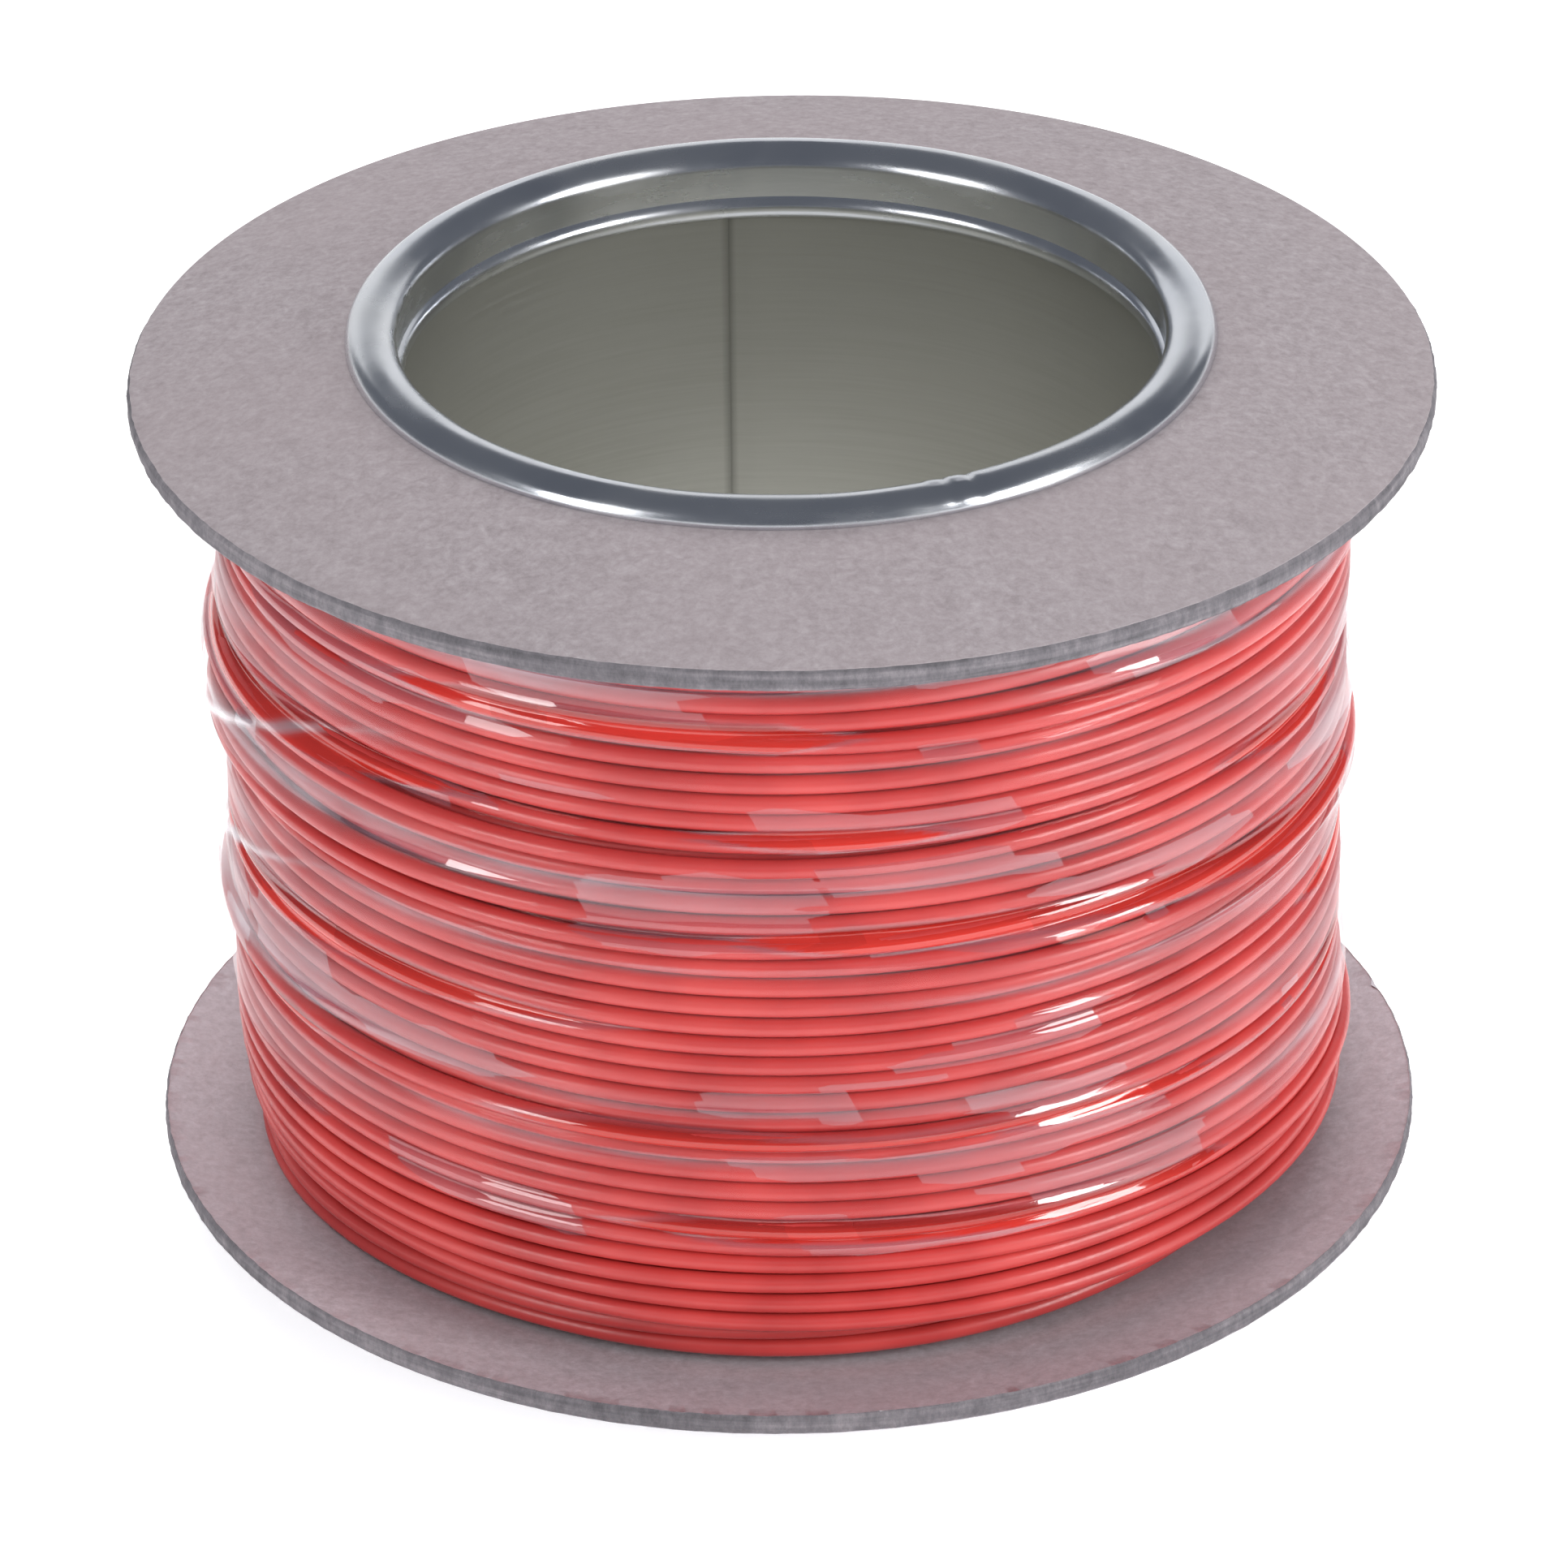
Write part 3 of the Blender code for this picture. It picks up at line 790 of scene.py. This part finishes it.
def make_film(surface, material, seed=23):
    """The film over the wound surface: on the wire along the pinch lines, off it in between."""
    rng = np.random.default_rng(seed)
    around, up = FILM_AROUND, FILM_UP
    zs = np.linspace(FILM_LOW.z, FILM_HIGH.z, up)
    angle = TAU * np.arange(around) / around
    skin = sample_rows(surface, angle / TAU * STEPS, zs / BIN)
    spread = skin.copy()
    for axis, most in ((1, 6), (0, 5)):
        spread = np.maximum.reduce([np.roll(spread, k, axis=axis) for k in range(-most, most + 1)])
    taut = smooth(smooth(spread, 1, 3.0, False), 0, 5.0, True)
    cling = smooth(smooth(skin, 1, 1.4, False), 0, 2.0, True)
    shape, wet, brim = pinch_shape(angle, zs, rng)
    loose = FILM_BULGE * (0.62 + 0.38 * np.cos(2 * angle))[:, None]
    edge_ease = np.clip(np.minimum(zs - zs[0], zs[-1] - zs) / FILM_EDGE_EASE, 0.0, 1.0)[None, :]
    standing = taut - FILM_SINK + loose * edge_ease
    film = cling + (standing - cling) * shape * edge_ease
    crease = crease_lines(angle, zs)
    film = np.maximum(smooth(film, 1, 0.9, False) + CREASE_RIDGE * crease, skin + FILM_CLEARANCE)
    lower = zs[0] + FILM_EDGE_WAVER * smooth(rng.standard_normal((around, 1)), 0, 3.0, True)[:, 0]
    heights_here = np.broadcast_to(zs, film.shape).copy()
    heights_here[:, 0] = np.minimum(lower, zs[1] - 0.05 * MM)
    x = film * np.cos(angle)[:, None]
    y = film * np.sin(angle)[:, None]
    vertices = np.stack([x, y, heights_here], -1).reshape(-1, 3)
    a, u = np.meshgrid(np.arange(around), np.arange(up - 1), indexing="ij")
    nxt = (a + 1) % around
    quads = np.stack([a * up + u, nxt * up + u, nxt * up + u + 1, a * up + u + 1], -1)
    piece = mesh_object("film_wrap", vertices.tolist(), quads.reshape(-1, 4).tolist(), [material])
    piece.data.shade_smooth()
    crest = np.maximum.reduce([np.roll(skin, k, axis=1) for k in range(-4, 5)])
    wet = wet * (1.0 - crease)
    for name, values in (("lift", (film - crest) / MM), ("wet", wet), ("brim", wet * brim),
                         ("fold", crease)):
        layer = piece.data.attributes.new(name, "FLOAT", "POINT")
        layer.data.foreach_set("value", values.ravel().astype(np.float32))
    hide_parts("stretch_film")


# ---- the boards ----
BOARD_AROUND = 720
BOARD_RADII = 16                      # rings of points across a face
EDGE_STEPS = 9
EDGE_ROUNDING = 0.35 * MM
BOARD_WARP = 0.25 * MM
EDGE_INSET, EDGE_FRAY, EDGE_FINE_FRAY = 0.10 * MM, 0.13 * MM, 0.07 * MM
NICK_AZIMUTH = 15.0                   # where the lower board's edge is nicked
NICK_DEPTH, NICK_WIDTH = 0.7 * MM, 0.6    # the width is in degrees


def make_board(name, flipped, face, edge):
    """A dished board, slightly warped, with a frayed cut edge."""
    around = BOARD_AROUND
    radii = list(np.linspace(HOLE_RADIUS, FLANGE_RADIUS - 0.5 * MM, BOARD_RADII))
    inner_low = [(r, BOARD_INNER + dish_drop(r)) for r in radii]
    profile = [(r, z - BOARD_THICKNESS) for r, z in inner_low[::-1]]
    outer_z = BOARD_INNER + dish_drop(FLANGE_RADIUS)
    rim = []
    for i in range(EDGE_STEPS + 1):
        t = i / EDGE_STEPS
        rounded = EDGE_ROUNDING * (2 * t - 1) ** 4
        rim.append((FLANGE_RADIUS - rounded, outer_z - t * BOARD_THICKNESS))
    profile = inner_low + rim + profile
    rings = len(profile)
    rim_rows = range(len(inner_low), len(inner_low) + len(rim))
    vertices = []
    shift = 17.0 if flipped else 3.0
    for k in range(around):
        a = TAU * k / around
        ca, sa = math.cos(a), math.sin(a)
        off = (math.degrees(a) - NICK_AZIMUTH) / NICK_WIDTH
        nick = 0.0 if flipped else NICK_DEPTH * math.exp(-off ** 2)
        warp = BOARD_WARP * noise.noise(Vector((ca * 1.2, sa * 1.2, shift)))
        for p, (r, z) in enumerate(profile):
            if p in rim_rows:
                fray = noise.noise(Vector((ca * 40.0, sa * 40.0, z * 900.0 + shift)))
                fine = noise.noise(Vector((ca * 150.0, sa * 150.0, z * 2500.0 + shift)))
                r = r - EDGE_INSET - EDGE_FRAY * fray - EDGE_FINE_FRAY * fine - nick
            reach = max(0.0, (r - DISH_START_RADIUS) / (FLANGE_RADIUS - DISH_START_RADIUS))
            vertices.append((r * ca, r * sa, z + warp * reach))
    vertices = np.array(vertices)
    if flipped:
        vertices = upside_down(vertices)
    faces = lathe_faces(rings, around)
    obj = mesh_object(name, vertices.tolist(), faces.tolist(), [face, edge])
    slots = np.tile(np.isin(np.arange(rings), list(rim_rows)[:-1]).astype(np.int32), around)
    obj.data.polygons.foreach_set("material_index", slots)
    obj.data.shade_smooth()
    obj.data.set_sharp_from_angle(angle=math.radians(40.0))
    return obj


# ---- the rolled tinplate ----
LIP_ROLL = 1.4 * MM                   # radius of the lip's bead
LIP_HEIGHT = 5.2 * MM                 # its middle, from the board's outer face
SEAM_STEP = 0.12 * MM                 # how far the lapped end of a rim stands up
SEAM_LAP = 5.5                        # degrees that it laps
SEAM_NOTCH, NOTCH_WIDTH = 0.24 * MM, 0.5    # beside the lap; the width is in degrees
RIM_DENT = 0.10 * MM
RIM_AROUND = 480
HUB_AROUND, HUB_LAP, HUB_LEVELS = 360, 10, 12
HUB_DENT = 0.05 * MM
LAP_GAP = 0.05 * MM                   # between the two layers of the tube's lap


def arc(centre, radius_r, radius_z, start, end, steps):
    """Points of a profile along part of an ellipse, from one angle in degrees to another."""
    points = []
    for i in range(steps + 1):
        a = math.radians(start + (end - start) * i / steps)
        points.append((centre[0] + radius_r * math.cos(a), centre[1] + radius_z * math.sin(a)))
    return points


def ferrule_side(offset):
    """One side of the lower ferrule's sheet, as in the CAD but rounder at the crest."""
    base_z = BOARD_FACE - GAP * 0.3
    depth = base_z - TUBE_THICKNESS / 2
    outer_roll = RIM_OUTER_RADIUS - TUBE_THICKNESS / 2 - CREST_RADIUS + offset
    inner_roll = CREST_RADIUS - WALL_RADIUS + offset
    lip_middle = WALL_RADIUS + LIP_ROLL / 2
    lip_z = BOARD_FACE + LIP_HEIGHT
    return (
        arc((CREST_RADIUS, base_z), outer_roll, depth + offset, 12.0, -90.0, 14)
        + arc((CREST_RADIUS, base_z), inner_roll, depth + offset, -96.0, -180.0, 12)
        + arc((lip_middle, lip_z), LIP_ROLL + offset, LIP_ROLL + offset, -120.0, -240.0, 10)
    )


def make_ferrule(name, flipped, seam_azimuth, material):
    """A rolled rim with small dents and a lapped seam across its crest."""
    half = TUBE_THICKNESS / 2
    profile = ferrule_side(half) + ferrule_side(-half)[::-1]
    rings = len(profile)
    around = RIM_AROUND
    vertices = []
    shift = 5.0 if flipped else 31.0
    for k in range(around):
        a = TAU * k / around
        away = math.degrees((a - seam_azimuth + math.pi) % TAU - math.pi)
        lap = SEAM_STEP if 0.0 <= away <= SEAM_LAP else 0.0
        before, after = (away + 1.4) / NOTCH_WIDTH, (away - 2.6) / NOTCH_WIDTH
        notch = SEAM_NOTCH * (math.exp(-before ** 2) + math.exp(-after ** 2))
        dent = RIM_DENT * noise.noise(Vector((math.cos(a) * 3.5, math.sin(a) * 3.5, shift)))
        for r, z in profile:
            crest = max(0.0, 1.0 - z / BOARD_FACE)
            height = z + (notch - lap + abs(dent)) * crest
            radius = r + dent * crest
            vertices.append((radius * math.cos(a), radius * math.sin(a), max(height, 0.02 * MM)))
    vertices = np.array(vertices)
    if flipped:
        vertices = upside_down(vertices)
    faces = lathe_faces(rings, around)
    obj = mesh_object(name, vertices.tolist(), faces.tolist(), [material])
    obj.data.shade_smooth()
    obj.data.set_sharp_from_angle(angle=math.radians(50.0))
    return obj


def make_hub(material):
    """The tinplate tube with its end lapped over its start."""
    around, levels = HUB_AROUND, HUB_LEVELS
    half = TUBE_THICKNESS / 2
    lapped = TUBE_THICKNESS + LAP_GAP
    columns = around + HUB_LAP + 1
    vertices, faces = [], []
    for i in range(columns):
        a = TUBE_SEAM_AZIMUTH + TAU * i / around
        step_out = min(max((i - (around - 4)) / 4.0, 0.0), 1.0) * lapped
        for side in (-half, half):
            for j in range(levels + 1):
                z = TUBE_LOW.z + (TUBE_HIGH.z - TUBE_LOW.z) * j / levels
                dent = HUB_DENT * noise.noise(Vector((math.cos(a) * 2.5, math.sin(a) * 2.5, z * 22.0)))
                r = TUBE_RADIUS + side + step_out + dent
                vertices.append((r * math.cos(a), r * math.sin(a), z))
    per = 2 * (levels + 1)
    for i in range(columns - 1):
        a, b = i * per, (i + 1) * per
        inside, outside = 0, levels + 1
        for j in range(levels):
            faces.append((a + inside + j, a + inside + j + 1, b + inside + j + 1, b + inside + j))
            faces.append((a + outside + j, b + outside + j, b + outside + j + 1, a + outside + j + 1))
        faces.append((a + inside, b + inside, b + outside, a + outside))
        top_in, top_out = inside + levels, outside + levels
        faces.append((a + top_in, a + top_out, b + top_out, b + top_in))
    for column, order in ((0, 1), (columns - 1, -1)):
        base = column * per
        for j in range(levels):
            quad = (base + j, base + levels + 1 + j, base + levels + 2 + j, base + j + 1)
            faces.append(quad[::order])
    obj = mesh_object("hub_tube_skin", vertices, faces, [material])
    obj.data.shade_smooth()
    obj.data.set_sharp_from_angle(angle=math.radians(40.0))
    return obj


# ---- build ----
make_camera()
make_studio()

board_faces = {
    "top": greyboard_material("greyboard_top", (1.01, 1.00, 1.01)),
    # the lower board's tint is painted fill light, standing in for light that the winding and the upper
    # board keep off its face
    "bottom": greyboard_material("greyboard_bottom_painted_fill", (1.52, 1.66, 1.72)),
}
board_edge = board_edge_material()
bright, satin = rim_material(), hub_material()
red, clear, copper = wire_material(), film_material(), copper_material()

surface, wire_tip, wire_outwards = make_winding(red)
strands = make_strands(wire_tip, wire_outwards, copper)
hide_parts("wire_conductor_end")
make_film(surface, clear)

for side, flipped, seam in (("bottom", False, 200.0), ("top", True, -65.0)):
    board = make_board(f"board_{side}", flipped, board_faces[side], board_edge)
    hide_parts(f"flange_{side}")
    azimuth = math.radians(-seam if flipped else seam)
    ferrule = make_ferrule(f"rim_{side}", flipped, azimuth, bright)
    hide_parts(f"ferrule_{side}")

hub = make_hub(satin)
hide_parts("hub_tube")
